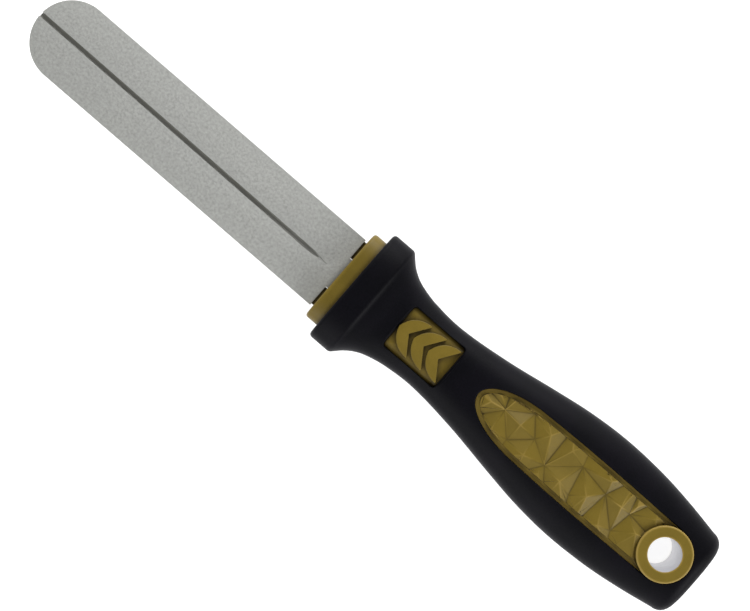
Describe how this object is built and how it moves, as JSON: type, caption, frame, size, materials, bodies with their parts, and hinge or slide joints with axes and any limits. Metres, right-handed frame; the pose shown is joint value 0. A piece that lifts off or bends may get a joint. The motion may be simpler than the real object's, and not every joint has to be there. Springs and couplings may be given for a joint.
{
  "type": "diamond sharpening paddle",
  "caption": "Flat round-tipped sharpening paddle with a hook groove, in a flanged two-colour moulded handle with a hang hole.",
  "frame": {"origin": "under the middle of the tool's length and width, on the surface that it lies on", "axes": "+X from the blade's tip to the butt, +Y across the blade, +Z out of the front face, which has the hook groove"},
  "size_m": [0.2202, 0.0338, 0.0196],
  "materials": {
    "plate_steel": "ground steel plate",
    "diamond_grit": "fine diamond grit in a nickel coat, matt grey",
    "olive_plastic": "moulded olive plastic with a satin face",
    "core_plastic": "moulded olive plastic, hidden",
    "black_rubber": "soft-touch overmould, matt blue-black",
    "liner_metal": "satin drawn tube",
    "pin_steel": "plain steel pin, hidden"
  },
  "bodies": {
    "root": {"blade_plate": "plate_steel", "front_diamond_layer": "diamond_grit", "back_diamond_layer": "diamond_grit", "collar": "olive_plastic", "grip_sleeve": "black_rubber", "lanyard_tube": "liner_metal", "tang_pin_fore": "pin_steel", "tang_pin_aft": "pin_steel", "core_front_half": "core_plastic", "core_back_half": "core_plastic", "front_thumb_plate": "olive_plastic", "back_thumb_plate": "olive_plastic", "front_grip_panel": "olive_plastic", "back_grip_panel": "olive_plastic", "front_hang_ring": "olive_plastic", "back_hang_ring": "olive_plastic"}
  },
  "joints": []
}
